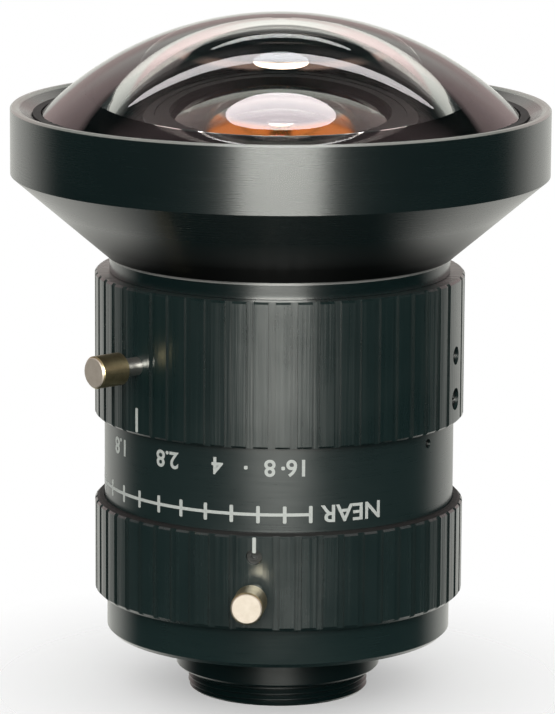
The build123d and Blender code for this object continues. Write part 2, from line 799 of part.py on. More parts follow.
pieces["iris_cam_ring"] = iris_cam_ring

# Cover over the cam ring, and its screws
with BuildPart() as iris_cover:
    tube(cover_z, cover_z + iris_cover_thickness, iris_cup_outer, cam_inner)
    for angle in cover_screw_angles:
        screw_hole(cover_screw_circle, angle, cover_z, cover_z + iris_cover_thickness,
                   small_screw_diameter + 2 * screw_gap)
pieces["iris_cover"] = iris_cover
cover_screw_length = cover_z + iris_cover_thickness - shelf_z + iris_shelf_thickness / 2
with BuildPart() as iris_cover_screws:
    for angle in cover_screw_angles:
        machine_screw(cover_screw_circle, angle, cover_z + iris_cover_thickness, cover_screw_length)
pieces["iris_cover_screws"] = iris_cover_screws

# Iris blades, each on its own level with a pivot pin below and a drive pin above
for k in range(blade_count):
    blade_low = well_floor_z + blade_gap + k * blade_pitch
    pivot_angle = k * 360 / blade_count
    pivot = (*on_circle(blade_pivot_radius, pivot_angle), blade_low)
    blade_heading = pivot_angle + blade_rest_turn
    blade_plane = Plane(pivot, x_dir=(*on_circle(1, blade_heading), 0), z_dir=(0, 0, 1))
    half_tail = blade_tail_angle / 2
    far = 2 * blade_outer_radius
    wedge = [(-blade_pivot_radius, 0)]
    for angle in (0, half_tail, blade_tail_angle):
        x, y = on_circle(far, angle)
        wedge.append((x - blade_pivot_radius, y))
    arm_end = on_circle(blade_arm_length, blade_arm_angle)
    with BuildPart() as blade:
        with BuildSketch(blade_plane):
            with Locations((-blade_pivot_radius, 0)):
                Circle(blade_outer_radius)
                Circle(blade_inner_radius, mode=Mode.SUBTRACT)
            with BuildLine():
                Polyline(*wedge, close=True)
            make_face(mode=Mode.INTERSECT)
            Circle(blade_head_radius)
            root = blade_outer_radius - blade_head_radius - blade_pivot_radius
            with BuildLine():
                Polyline((0, -blade_head_radius), (0, blade_head_radius), (root, blade_root_share * blade_head_radius),
                         (root, 0), close=True)
            make_face()
            with Locations(Location((arm_end[0] / 2, arm_end[1] / 2, 0), (0, 0, blade_arm_angle))):
                SlotCenterToCenter(blade_arm_length, blade_arm_width)
        extrude(amount=blade_thickness)
        with BuildSketch(blade_plane):
            Circle(blade_pin_diameter / 2)
        extrude(amount=shelf_z + 2 * running_gap - blade_low)
        with BuildSketch(blade_plane):
            with Locations(arm_end):
                Circle(blade_pin_diameter / 2)
        extrude(amount=cam_rim_z + cam_plate_thickness - blade_low)
    pieces[f"iris_blade_{k + 1}"] = blade

# Collar ring that keeps the iris ring on its journal
with BuildPart() as collar_ring:
    tube(collar_z, hood_z, spigot_radius + collar_wall, spigot_radius)
pieces["collar_ring"] = collar_ring

# Front hood with its cone, band and seats
ring_bore = hood_radius - hood_rim_land - hood_bevel_width
front_ring_outer = ring_bore - running_gap
front_ring_inner = front_ring_outer - front_ring_width
dome_edge_radius = front_ring_inner + front_ring_overlap
dome_edge_z = rim_z - dome_edge_drop
dome_seat_z = dome_edge_z - dome_edge_thickness
dome_sphere = curve_radius(dome_rise, dome_edge_radius)
glass_bore = dome_edge_radius + running_gap
ring_seat_z = dome_edge_z - 2 * running_gap
bevel_foot_z = rim_z - hood_bevel_drop
throat_radius = spigot_radius + running_gap
throat_top = cell_top_z + front_cell_flange_height + running_gap
with BuildPart() as front_hood:
    turned([
        (spigot_radius, hood_z),
        (hood_base_radius, hood_z),
        (hood_radius, band_z),
        (hood_radius, rim_z - hood_band_chamfer),
        (hood_radius - hood_band_chamfer, rim_z),
        (hood_radius - hood_rim_land, rim_z),
        (ring_bore, bevel_foot_z),
        (ring_bore, ring_seat_z),
        (glass_bore, ring_seat_z),
        (glass_bore, dome_seat_z),
        (glass_bore - hood_seat_width, dome_seat_z),
        (glass_bore - hood_seat_width, throat_top + hood_throat_height),
        (throat_radius, throat_top),
        (throat_radius, cell_top_z),
        (spigot_radius, cell_top_z),
    ])
pieces["front_hood"] = front_hood

# Front element and its retaining ring
with BuildPart() as front_element:
    glass(dome_seat_z, dome_edge_z, dome_edge_radius, dome_rise, dome_edge_radius, -dome_rear_hollow,
          dome_edge_radius - dome_rear_rim)
pieces["front_element"] = front_element
front_ring_touch = sphere_drop(dome_sphere, dome_edge_radius) - sphere_drop(dome_sphere, front_ring_inner)
front_ring_touch_z = dome_edge_z + front_ring_touch + running_gap
with BuildPart() as front_retaining_ring:
    turned([
        (front_ring_inner, front_ring_touch_z),
        (dome_edge_radius, dome_edge_z + running_gap),
        (glass_bore, dome_edge_z + running_gap),
        (glass_bore, ring_seat_z),
        (front_ring_outer, ring_seat_z),
        (front_ring_outer, ring_seat_z + front_ring_height),
        (front_ring_inner, ring_seat_z + front_ring_height),
    ])
pieces["front_retaining_ring"] = front_retaining_ring

# Front cell: a stepped tube that holds the second, third and fourth elements
cell_low = cell_top_z - front_cell_drop
cell_flange_z = cell_top_z
cell_mouth_z = cell_flange_z + front_cell_height
middle_seat_z = cell_low + middle_shelf_height
second_seat_z = cell_mouth_z - second_seat_depth
cell_neck = journal_bore - front_cell_neck_step
second_bore = cell_neck - front_cell_neck_wall
middle_bore = second_bore - second_seat_width
middle_shelf_bore = middle_bore - middle_shelf_width
with BuildPart() as front_cell:
    turned([
        (middle_shelf_bore, cell_low),
        (journal_bore - running_gap, cell_low),
        (journal_bore - running_gap, cell_flange_z),
        (spigot_radius, cell_flange_z),
        (spigot_radius, cell_flange_z + front_cell_flange_height),
        (cell_neck, cell_flange_z + front_cell_flange_height),
        (cell_neck, cell_mouth_z),
        (second_bore, cell_mouth_z),
        (second_bore, second_seat_z),
        (middle_bore, second_seat_z),
        (middle_bore, middle_seat_z),
        (middle_shelf_bore, middle_seat_z),
    ])
pieces["front_cell"] = front_cell

# Elements, spacer and rings in the front cell, from the bottom shelf up
middle_edge = middle_bore - running_gap
middle_spacer_bore = middle_edge - middle_spacer_wall
fourth_top = middle_seat_z + fourth_edge_thickness
spacer_top = fourth_top + middle_spacer_height
third_top = spacer_top + third_edge_thickness
with BuildPart() as fourth_element:
    glass(middle_seat_z, fourth_top, middle_edge, fourth_bulge, middle_spacer_bore, fourth_bulge,
          middle_shelf_bore - running_gap)
pieces["fourth_element"] = fourth_element
with BuildPart() as middle_spacer:
    tube(fourth_top, spacer_top, middle_edge, middle_spacer_bore)
pieces["middle_spacer"] = middle_spacer
with BuildPart() as third_element:
    glass(spacer_top, third_top, middle_edge, third_bulge, middle_spacer_bore, -third_rear_hollow,
          middle_edge - third_rear_rim)
pieces["third_element"] = third_element
with BuildPart() as middle_retaining_ring:
    tube(third_top, third_top + middle_ring_height, middle_edge, middle_spacer_bore)
pieces["middle_retaining_ring"] = middle_retaining_ring
second_edge = second_bore - running_gap
second_top = second_seat_z + second_edge_thickness
with BuildPart() as second_element:
    glass(second_seat_z, second_top, second_edge, second_bulge, second_edge - front_cell_ring_wall,
          -second_rear_hollow, second_edge - second_rear_rim)
pieces["second_element"] = second_element
with BuildPart() as front_cell_ring:
    tube(second_top, second_top + front_cell_ring_height, second_edge, second_edge - front_cell_ring_wall)
pieces["front_cell_ring"] = front_cell_ring

# Rear cell: a wide body under the iris and a snout that reaches into the mount
rear_cell_radius = barrel_inner - running_gap
rear_cell_bore = rear_cell_radius - rear_cell_wall
fifth_top = rear_stop_z - doublet_ring_height
sixth_top = fifth_top - fifth_centre_thickness - fifth_hollow - cemented_bulge
rear_spacer_top = sixth_top - sixth_edge_thickness
seventh_top = rear_spacer_top - sixth_bulge - rear_air_gap - seventh_bulge
rear_shelf_z = seventh_top - seventh_edge_thickness
rear_body_low = rear_shelf_z - rear_cell_floor_thickness
snout_radius = mount_bore_radius - rear_snout_clearance
rear_snout_bore = snout_radius - rear_snout_wall
rear_snout_passage = rear_snout_bore - rear_snout_seat_width
rear_ring_seat_z = rear_snout_end_height + rear_ring_nut_recess
rear_element_low = rear_ring_seat_z + rear_ring_nut_height
rear_element_top = rear_element_low + rear_element_thickness
with BuildPart() as rear_cell:
    turned([
        (rear_snout_bore, rear_snout_end_height),
        (snout_radius, rear_snout_end_height),
        (snout_radius, rear_body_low),
        (rear_cell_radius, rear_body_low),
        (rear_cell_radius, rear_stop_z),
        (rear_cell_bore, rear_stop_z),
        (rear_cell_bore, rear_shelf_z),
        (rear_snout_passage, rear_shelf_z),
        (rear_snout_passage, rear_element_top),
        (rear_snout_bore, rear_element_top),
    ])
pieces["rear_cell"] = rear_cell

# Elements, spacer and rings in the rear cell
rear_edge = rear_cell_bore - running_gap
rear_clear = rear_edge - rear_glass_rim
with BuildPart() as seventh_element:
    glass(rear_shelf_z, seventh_top, rear_edge, seventh_bulge, rear_clear, -seventh_rear_hollow,
          rear_snout_passage)
pieces["seventh_element"] = seventh_element
with BuildPart() as rear_spacer:
    tube(seventh_top, rear_spacer_top, rear_edge, rear_edge - rear_spacer_wall)
pieces["rear_spacer"] = rear_spacer
with BuildPart() as sixth_element:
    glass(rear_spacer_top, sixth_top, rear_edge, cemented_bulge, rear_clear, sixth_bulge, rear_clear)
pieces["sixth_element"] = sixth_element
with BuildPart() as fifth_element:
    glass(sixth_top, fifth_top, rear_edge, -fifth_hollow, rear_clear, -cemented_bulge, rear_clear)
pieces["fifth_element"] = fifth_element
with BuildPart() as doublet_ring:
    tube(fifth_top, rear_stop_z, rear_edge, rear_edge - rear_spacer_wall)
pieces["doublet_ring"] = doublet_ring
rear_nut_bore = rear_snout_bore - rear_ring_nut_wall
with BuildPart() as rear_element:
    glass(rear_element_low, rear_element_top, rear_snout_bore - running_gap, rear_element_bulge,
          rear_snout_passage, -rear_element_hollow, rear_nut_bore)
pieces["rear_element"] = rear_element
with BuildPart() as rear_retaining_ring:
    tube(rear_ring_seat_z, rear_element_low, rear_snout_bore, rear_nut_bore)
pieces["rear_retaining_ring"] = rear_retaining_ring
with BuildPart() as rear_cell_ring:
    tube(rear_body_low - rear_cell_ring_height, rear_body_low, rear_cell_radius,
         rear_cell_radius - rear_cell_ring_wall)
pieces["rear_cell_ring"] = rear_cell_ring

os.makedirs("parts", exist_ok=True)
for label, piece in pieces.items():
    piece.part.label = label
    export_step(piece.part, f"parts/{label}.step")
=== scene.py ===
import math
from collections import namedtuple

import bmesh
import bpy
from mathutils import Matrix, Vector


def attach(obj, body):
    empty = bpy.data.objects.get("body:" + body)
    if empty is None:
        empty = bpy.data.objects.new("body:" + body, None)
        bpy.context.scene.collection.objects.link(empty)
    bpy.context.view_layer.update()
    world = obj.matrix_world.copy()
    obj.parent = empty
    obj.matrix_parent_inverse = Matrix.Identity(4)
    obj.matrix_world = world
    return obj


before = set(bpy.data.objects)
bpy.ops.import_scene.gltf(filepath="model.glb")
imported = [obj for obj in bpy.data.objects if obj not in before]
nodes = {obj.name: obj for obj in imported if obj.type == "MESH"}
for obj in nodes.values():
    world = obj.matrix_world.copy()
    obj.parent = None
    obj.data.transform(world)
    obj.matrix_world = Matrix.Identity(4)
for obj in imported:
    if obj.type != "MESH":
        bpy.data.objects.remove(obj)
bpy.context.view_layer.update()
scene = bpy.context.scene

# ---------------------------------------------------------------- places on the part
# Metres, and degrees from the X axis. Heights run from the end of the mount thread.
SLEEVE_RADIUS = 0.02460
GRIP_RADIUS = 0.02595
SCALE_LINE_Z = 0.0303
NUMBER_Z = 0.0368
IRIS_INDEX_Z = 0.0418
FOCUS_INDEX_Z = 0.0263
IRIS_SCREW_ANGLE = -138.9
FOCUS_SCREW_ANGLE = -97.3
LOCK_HEAD_START = 0.02873
LOCK_FACE = 0.03345

# Front glass and second glass: the top of the front face, and the radius of its sphere
FRONT_CROWN, FRONT_BALL = 0.09595, 0.04687
SECOND_CROWN, SECOND_BALL = 0.07805, 0.04985
GLASS_EDGE_Z = 0.0815
GLASS_EDGE_RADIUS = 0.0231

# ---------------------------------------------------------------- sizes of the marks, in metres
PAINT_PROUD = 0.00003
PAINT_DEPTH = 0.00012
BEND_STEP = 0.0003
LETTER_TALL = 0.0024
LETTER_BOLD = 0.018
WORD_STRETCH = 1.06
DOT_WIDE = 0.0005
SCALE_LINE_TALL = 0.00043
TICK_WIDE, TICK_TALL = 0.0005, 0.0024
INDEX_WIDE = 0.0005
IRIS_INDEX_TALL = 0.0034
FOCUS_INDEX_TALL = 0.0022
CORNER_SHARE = 0.3
CORNER_POINTS = 5


# ---------------------------------------------------------------- node helpers
class Nodes:
    """Short calls for the nodes of one tree, a material's or the world's."""

    def __init__(self, tree):
        self.tree = tree

    def new(self, kind):
        return self.tree.nodes.new("ShaderNode" + kind)

    def fill(self, socket, value):
        if isinstance(value, bpy.types.NodeSocket):
            self.tree.links.new(value, socket)
        elif value is not None:
            socket.default_value = value

    def add(self, kind, *inputs, out=0, **settings):
        node = self.new(kind)
        for key, value in settings.items():
            setattr(node, key, value)
        for place, value in enumerate(inputs):
            self.fill(node.inputs[place], value)
        return node.outputs[out]

    def maths(self, operation, *inputs):
        return self.add("Math", *inputs, operation=operation)

    def all_of(self, mask, *others):
        """A mask that is on where all the given masks are on."""
        for other in others:
            mask = self.maths("MULTIPLY", mask, other)
        return mask

    def ramp(self, value, low, high, to_low, to_high):
        """Turns low to high into to_low to to_high, and stays at these outside."""
        return self.add("MapRange", value, low, high, to_low, to_high)

    def rise(self, value, low, high):
        return self.ramp(value, low, high, 0.0, 1.0)

    def fall(self, value, low, high):
        return self.ramp(value, low, high, 1.0, 0.0)

    def mix(self, factor, first, second):
        node = self.new("Mix")
        node.data_type = "RGBA"
        for place, value in ((0, factor), (6, first), (7, second)):
            self.fill(node.inputs[place], value)
        return node.outputs[2]

    def parts(self, vector):
        node = self.new("SeparateXYZ")
        self.tree.links.new(vector, node.inputs[0])
        return node.outputs

    def length(self, x, y):
        squares = self.maths("ADD", self.maths("MULTIPLY", x, x), self.maths("MULTIPLY", y, y))
        return self.maths("SQRT", squares)


class Finish(Nodes):
    """A Principled material with short calls for the nodes that vary it."""

    def __init__(self, name, **values):
        self.material = bpy.data.materials.new(name)
        self.material.use_nodes = True
        super().__init__(self.material.node_tree)
        self.shader = self.tree.nodes["Principled BSDF"]
        for socket, value in values.items():
            self.shader.inputs[socket.replace("_", " ")].default_value = value

    def link(self, output, socket):
        self.tree.links.new(output, self.shader.inputs[socket])

    def noise(self, vector, scale, detail=2.0, roughness=0.5):
        return self.add("TexNoise", vector, None, scale, detail, roughness)

    def place(self):
        """The point on the piece: object coordinates, which turn and slide with it."""
        return self.add("TexCoord", out=3)

    def radius_height(self):
        """The point's distance from the axis, and its height."""
        x, y, z = self.parts(self.place())
        return self.length(x, y), z

    def round_place(self, turn_share):
        """The point as (turn, distance from the axis, height), for marks that a lathe leaves."""
        x, y, z = self.parts(self.place())
        turn = self.maths("MULTIPLY", self.maths("ARCTAN2", y, x), turn_share)
        return self.add("CombineXYZ", turn, self.length(x, y), z)

    def bump(self, height, strength, distance, normal=None):
        node = self.new("Bump")
        node.inputs["Strength"].default_value = strength
        node.inputs["Distance"].default_value = distance
        self.fill(node.inputs["Height"], height)
        self.fill(node.inputs["Normal"], normal)
        return node.outputs[0]


# ---------------------------------------------------------------- black finishes
# Scales of the noise are in cycles to the metre, and depths of the bump in metres.
ETCH_SCALE = 14000.0
CLOUD_SCALE = 90.0
LATHE_SCALE, LATHE_TURN = 9000.0, 0.0004
STREAK_SCALE, STREAK_HEIGHT = 1100.0, 0.02
FINE_DEPTH = 0.00001
STREAK_DEPTH = 0.0001
QUARTER_TURN = 0.25

# From the height start to the height end, a ring takes on the band's own colour, roughness and
# shine: painted shade in a throat or gap, or a painted highlight along an edge.
PaintedBand = namedtuple("PaintedBand", "start end colour roughness shine")

# Painted shade: the foot of the hood's cone, above the collar, near black and barely mirroring.
HOOD_THROAT_SHADE = PaintedBand(0.0690, 0.0645, (0.0006, 0.0010, 0.0010, 1), roughness=0.50, shine=0.1)
# Painted highlight: a pale, brighter-mirroring line along the top outer corner of the hood's rim.
HOOD_RIM_HIGHLIGHT = PaintedBand(0.08280, 0.08290, (0.23, 0.245, 0.22, 1), roughness=0.30, shine=1.3)
# Painted highlight: a pale line along the collar's top edge, standing in for a chamfer's highlight.
COLLAR_TOP_HIGHLIGHT = PaintedBand(0.06190, 0.06196, (0.30, 0.30, 0.28, 1), roughness=0.35, shine=1.0)
# Painted shade: a dark, dull line at the top of the focus ring, in the gap under the sleeve.
FOCUS_TOP_SHADE = PaintedBand(0.02750, 0.02754, (0.002, 0.003, 0.003, 1), roughness=0.65, shine=0.3)

DEEP_BLACK = (0.0010, 0.0085, 0.0085, 1), (0.0030, 0.0130, 0.0126, 1)
RING_BLACK = (0.0042, 0.0165, 0.0160, 1), (0.0085, 0.0245, 0.0230, 1)
SATIN_BLACK = (0.0095, 0.0220, 0.0215, 1), (0.0145, 0.0300, 0.0285, 1)
INNER_BLACK = (0.004, 0.004, 0.0045, 1), (0.008, 0.008, 0.009, 1)


def anodised(name, colours, roughness, spread, turned, grain, index=1.6, along=0.0,
             knurled=False, edges=()):
    """Black anodised aluminium: lathe lines, a fine etched grain and faint cloudiness.
    A knurled ring has upright streaks instead, because its flats are cut one by one."""
    f = Finish(name, IOR=index, Anisotropic=along, Anisotropic_Rotation=QUARTER_TURN)
    if knurled:
        turn, _, z = f.parts(f.round_place(GRIP_RADIUS))
        path = f.add("CombineXYZ", turn, 0.0, f.maths("MULTIPLY", z, STREAK_HEIGHT))
        scale, depth = STREAK_SCALE, STREAK_DEPTH
    else:
        path = f.round_place(LATHE_TURN)
        scale, depth = LATHE_SCALE, FINE_DEPTH
    cut = f.noise(path, scale, detail=3.0, roughness=0.6)
    etch = f.noise(f.place(), ETCH_SCALE, detail=2.0, roughness=0.7)
    cloud = f.noise(f.place(), CLOUD_SCALE, detail=4.0, roughness=0.6)
    tone = f.maths("MULTIPLY_ADD", cut, 0.5, f.maths("MULTIPLY", cloud, 0.5))
    colour = f.mix(f.rise(tone, 0.3, 0.7), *colours)
    uneven = f.maths("ADD", cut, cloud)
    satin = f.ramp(uneven, 0.6, 1.4, roughness - spread, roughness + spread)
    gloss = (1, 1, 1, 1)
    # Each band paints shade or a highlight over its heights, through colour, roughness and specular
    # tint.
    for edge in edges:
        _, z = f.radius_height()
        there = f.rise(z, edge.start, edge.end)
        colour = f.mix(there, colour, edge.colour)
        satin = f.ramp(there, 0.0, 1.0, satin, edge.roughness)
        gloss = f.mix(there, gloss, (edge.shine, edge.shine, edge.shine, 1))
    if edges:
        f.link(gloss, "Specular Tint")
    f.link(colour, "Base Color")
    f.link(satin, "Roughness")
    f.link(f.bump(etch, grain, FINE_DEPTH, f.bump(cut, turned, depth)), "Normal")
    if along:
        f.link(f.add("Tangent", direction_type="RADIAL", axis="Z"), "Tangent")
    return f.material


# ---------------------------------------------------------------- bare metals
TURNING_SCALE, TURNING_TURN = 12000.0, 0.0003
STAIN_SCALE = 700.0


def metal(name, colour, worn, roughness, spread, scratch, metallic=1.0):
    """Bare or plated metal: turning lines, faint stains and small scratches."""
    f = Finish(name, Metallic=metallic, IOR=1.5)
    lines = f.noise(f.round_place(TURNING_TURN), TURNING_SCALE, detail=3.0, roughness=0.6)
    stain = f.noise(f.place(), STAIN_SCALE, detail=5.0, roughness=0.65)
    f.link(f.mix(f.rise(stain, 0.35, 0.7), colour, worn), "Base Color")
    f.link(f.ramp(lines, 0.3, 0.7, roughness - spread, roughness + spread), "Roughness")
    f.link(f.bump(lines, scratch, FINE_DEPTH), "Normal")
    return f.material


NICKEL_NECK = (0.50, 0.49, 0.46, 1)
NICKEL_HEAD = (0.34, 0.29, 0.17, 1), (0.24, 0.20, 0.11, 1)
NICKEL_FACE = (0.54, 0.48, 0.41, 1), (0.47, 0.41, 0.34, 1)
HEAD_STAIN_SCALE = 900.0
HEAD_LINE_SCALE = 6000.0
HEAD_METALLIC, FACE_METALLIC = 0.95, 0.45
NECK_ROUGHNESS, HEAD_ROUGHNESS = 0.24, 0.30
FACE_ROUGHER, LINES_ROUGHER = 0.2, 0.1


def lock_screw_metal():
    """Nickel of a lock screw: a bright neck, a stained head and a satin end face."""
    f = Finish("lock_screw_nickel", IOR=1.5)
    out, _ = f.radius_height()
    head = f.maths("GREATER_THAN", out, LOCK_HEAD_START)
    face = f.maths("GREATER_THAN", out, LOCK_FACE)
    stain = f.rise(f.noise(f.place(), HEAD_STAIN_SCALE, detail=5.0, roughness=0.65), 0.35, 0.7)
    colour = f.mix(head, NICKEL_NECK, f.mix(stain, *NICKEL_HEAD))
    f.link(f.mix(face, colour, f.mix(stain, *NICKEL_FACE)), "Base Color")
    f.link(f.ramp(face, 0.0, 1.0, HEAD_METALLIC, FACE_METALLIC), "Metallic")
    lines = f.noise(f.place(), HEAD_LINE_SCALE, detail=3.0, roughness=0.6)
    satin = f.ramp(head, 0.0, 1.0, NECK_ROUGHNESS, HEAD_ROUGHNESS)
    satin = f.maths("MULTIPLY_ADD", face, FACE_ROUGHER, satin)
    f.link(f.maths("MULTIPLY_ADD", lines, LINES_ROUGHER, satin), "Roughness")
    f.link(f.bump(lines, 0.25, FINE_DEPTH), "Normal")
    return f.material


# ---------------------------------------------------------------- glass
# A rear face lies more than the depth under the front face, which is a sphere. Between two radii
# it has a coating of its own, or a mirroring layer.
RearFace = namedtuple("RearFace", "crown ball depth")
Coating = namedtuple("Coating", "start end colour")
Mirror = namedtuple("Mirror", "start end strength blur colour")

SPECK_SCALE, FILM_SCALE = 2600.0, 120.0
FILM_SHADE = 0.985
EDGE_BLACK = (0.004, 0.004, 0.004, 1)
COATING_FADE = 0.0003
MIRROR_FADE = 0.0006


def glass(name, colour, index, coating, dust=0.0, painted=None, rear=None, rings=(), mirror=None):
    """Polished glass with a coloured coating and a trace of dust.
    Painted is (height, radius): below the one and beyond the other the ground edge is blackened."""
    f = Finish(name, Transmission_Weight=1.0, IOR=index, Specular_Tint=coating)
    specks = f.noise(f.place(), SPECK_SCALE, detail=2.0, roughness=0.8)
    film = f.noise(f.place(), FILM_SCALE, detail=3.0, roughness=0.6)
    haze = f.ramp(f.maths("MULTIPLY", specks, film), 0.36, 0.5, 0.0, dust)
    tint = f.mix(film, colour, tuple(c * FILM_SHADE for c in colour[:3]) + (1.0,))
    if painted:
        radius, z = f.radius_height()
        height, beyond = painted
        edge = f.all_of(f.maths("LESS_THAN", z, height), f.maths("GREATER_THAN", radius, beyond))
        tint = f.mix(edge, tint, EDGE_BLACK)
        f.link(f.maths("SUBTRACT", 1.0, edge), "Transmission Weight")
    if rear:
        radius, z = f.radius_height()
        square = f.maths("SUBTRACT", rear.ball * rear.ball, f.maths("MULTIPLY", radius, radius))
        limit = f.maths("ADD", f.maths("SQRT", square), rear.crown - rear.ball - rear.depth)
        under = f.maths("LESS_THAN", z, limit)
        own = (0.0, 0.0, 0.0, 1)
        for ring in rings:
            inside = f.all_of(
                f.rise(radius, ring.start - COATING_FADE, ring.start + COATING_FADE),
                f.fall(radius, ring.end - COATING_FADE, ring.end + COATING_FADE))
            own = f.mix(inside, own, ring.colour)
        f.link(f.mix(under, coating, own), "Specular Tint")
        if mirror:
            begun = f.rise(radius, mirror.start - MIRROR_FADE, mirror.start + MIRROR_FADE)
            there = f.all_of(under, begun, f.maths("LESS_THAN", radius, mirror.end))
            tint = f.mix(there, tint, mirror.colour)
            f.link(f.maths("MULTIPLY", there, mirror.strength), "Metallic")
            haze = f.maths("MULTIPLY", there, mirror.blur)
    f.link(haze, "Roughness")
    f.link(tint, "Base Color")
    return f.material


# The hollow side of the front glass: a blue-grey ring, the bright patch round it, and the rest
FRONT_RINGS = (Coating(0.0117, 0.0137, (0.16, 0.19, 0.23, 1)),
               Coating(0.0140, 0.0153, (5.0, 3.9, 3.2, 1)),
               Coating(0.0153, 0.0300, (0.10, 0.08, 0.08, 1)))
# The amber layer in the hollow of the second glass
AMBER = Mirror(0.0088, 0.0124, strength=0.92, blur=0.10, colour=(1.0, 0.34, 0.08, 1))

# ---------------------------------------------------------------- what each slot and node gets
finishes = {
    "black_anodised": anodised("black_anodised", RING_BLACK, roughness=0.29, spread=0.04,
                               turned=0.10, grain=0.12, index=1.65, along=0.2),
    "mount_black": anodised("mount_black", DEEP_BLACK, roughness=0.32, spread=0.05,
                            turned=0.06, grain=0.08, index=1.36, along=0.5),
    "inner_black": anodised("inner_black", INNER_BLACK, roughness=0.55, spread=0.08,
                            turned=0.2, grain=0.2, index=1.22),
    "front_glass": glass("front_glass", (0.98, 0.98, 0.96, 1), 1.68, (0.38, 0.32, 0.34, 1),
                         dust=0.01, painted=(GLASS_EDGE_Z, GLASS_EDGE_RADIUS),
                         rear=RearFace(FRONT_CROWN, FRONT_BALL, depth=0.0015),
                         rings=FRONT_RINGS),
    "inner_glass": glass("inner_glass", (0.98, 0.97, 0.95, 1), 1.6, (0.75, 0.6, 1.0, 1)),
    "lock_screw_nickel": lock_screw_metal(),
    "plug_brass": metal("plug_brass", (0.72, 0.55, 0.25, 1), (0.6, 0.43, 0.18, 1),
                        roughness=0.4, spread=0.1, scratch=0.3),
    "nut_brass": metal("nut_brass", (0.7, 0.52, 0.24, 1), (0.55, 0.39, 0.17, 1),
                       roughness=0.35, spread=0.1, scratch=0.4),
    "black_steel": metal("black_steel", (0.008, 0.010, 0.010, 1), (0.005, 0.005, 0.005, 1),
                         roughness=0.35, spread=0.1, scratch=0.3, metallic=0.3),
    "bright_steel": metal("bright_steel", (0.6, 0.6, 0.6, 1), (0.5, 0.5, 0.5, 1),
                          roughness=0.3, spread=0.1, scratch=0.3),
    "blade_steel": metal("blade_steel", (0.05, 0.05, 0.055, 1), (0.035, 0.035, 0.04, 1),
                         roughness=0.4, spread=0.1, scratch=0.2),
}

own_finish = {
    "front_hood": anodised("hood_black", DEEP_BLACK, roughness=0.27, spread=0.012, turned=0.01,
                           grain=0.08, index=1.7, along=0.7, edges=(HOOD_THROAT_SHADE, HOOD_RIM_HIGHLIGHT)),
    "collar_ring": anodised("collar_black", DEEP_BLACK, roughness=0.24, spread=0.03, turned=0.03,
                            grain=0.08, index=1.65, along=0.6, edges=(COLLAR_TOP_HIGHLIGHT,)),
    "iris_ring": anodised("iris_black", RING_BLACK, roughness=0.29, spread=0.05, turned=0.6,
                          grain=0.12, index=1.65, along=0.2, knurled=True),
    "scale_sleeve": anodised("sleeve_black", SATIN_BLACK, roughness=0.29, spread=0.03,
                             turned=0.03, grain=0.12, index=1.65, along=0.2),
    "focus_ring": anodised("focus_black", SATIN_BLACK, roughness=0.25, spread=0.05, turned=0.6,
                           grain=0.12, index=1.65, along=0.1, knurled=True, edges=(FOCUS_TOP_SHADE,)),
    "rear_barrel": anodised("barrel_black", SATIN_BLACK, roughness=0.20, spread=0.03,
                            turned=0.08, grain=0.10),
    "second_element": glass("amber_coated_glass", (0.96, 0.98, 0.96, 1), 1.65,
                            (0.06, 0.15, 0.14, 1),
                            rear=RearFace(SECOND_CROWN, SECOND_BALL, depth=0.0006),
                            mirror=AMBER),
}
for name, node in nodes.items():
    for place, slot in enumerate(node.material_slots):
        plain = finishes[slot.material.name.split(".")[0]]
        node.data.materials[place] = own_finish.get(name, plain)


# ---------------------------------------------------------------- white marks
PAINT_PATCH_SCALE = 2500.0
PAINT_GREYED, PAINT_WHITE = (0.56, 0.60, 0.56, 1), (0.74, 0.77, 0.72, 1)


def white_paint():
    """White filling paint: matt, a little uneven and faintly greyed."""
    f = Finish("white_paint", IOR=1.45)
    patch = f.noise(f.place(), PAINT_PATCH_SCALE, detail=3.0, roughness=0.6)
    f.link(f.mix(patch, PAINT_GREYED, PAINT_WHITE), "Base Color")
    f.link(f.ramp(patch, 0.3, 0.7, 0.45, 0.65), "Roughness")
    f.link(f.bump(patch, 0.2, FINE_DEPTH), "Normal")
    return f.material


PAINT = white_paint()


def show(name, mesh, body):
    """Puts a painted mark on the part, riding on a body, in white paint."""
    piece = bpy.data.objects.new(name, mesh)
    scene.collection.objects.link(piece)
    mesh.materials.append(PAINT)
    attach(piece, body)
    return piece


def wrap(mesh, radius, degrees, height):
    """Bends a flat mark round the axis, turned so that it reads with the mount on top."""
    shape = bmesh.new()
    shape.from_mesh(mesh)
    low = min(v.co.x for v in shape.verts)
    high = max(v.co.x for v in shape.verts)
    for k in range(1, int((high - low) / BEND_STEP) + 1):
        bmesh.ops.bisect_plane(shape, geom=shape.verts[:] + shape.edges[:] + shape.faces[:],
                               plane_co=(low + k * BEND_STEP, 0, 0), plane_no=(1, 0, 0))
    for v in shape.verts:
        turn = math.radians(degrees) - v.co.x / radius
        away = radius + v.co.z
        v.co = (away * math.cos(turn), away * math.sin(turn), height - v.co.y)
    shape.to_mesh(mesh)
    shape.free()
    return mesh


def words(text, stretch=1.0):
    """A flat text as a thin solid, centred, with letters of one height."""
    half = 0.5
    curve = bpy.data.curves.new(text, "FONT")
    curve.body = text
    curve.align_x = "CENTER"
    curve.size = 1.0
    curve.resolution_u = 6
    curve.extrude = half
    curve.offset = LETTER_BOLD
    temporary = bpy.data.objects.new("temporary", curve)
    scene.collection.objects.link(temporary)
    bpy.context.view_layer.update()
    evaluated = temporary.evaluated_get(bpy.context.evaluated_depsgraph_get())
    mesh = bpy.data.meshes.new_from_object(evaluated)
    bpy.data.objects.remove(temporary)
    low = min(v.co.y for v in mesh.vertices)
    high = max(v.co.y for v in mesh.vertices)
    scale = LETTER_TALL / (high - low)
    thick = PAINT_PROUD + PAINT_DEPTH
    for v in mesh.vertices:
        v.co = (v.co.x * scale * stretch,
                (v.co.y - (low + high) / 2) * scale,
                (v.co.z + half) * thick - PAINT_DEPTH)
    return mesh


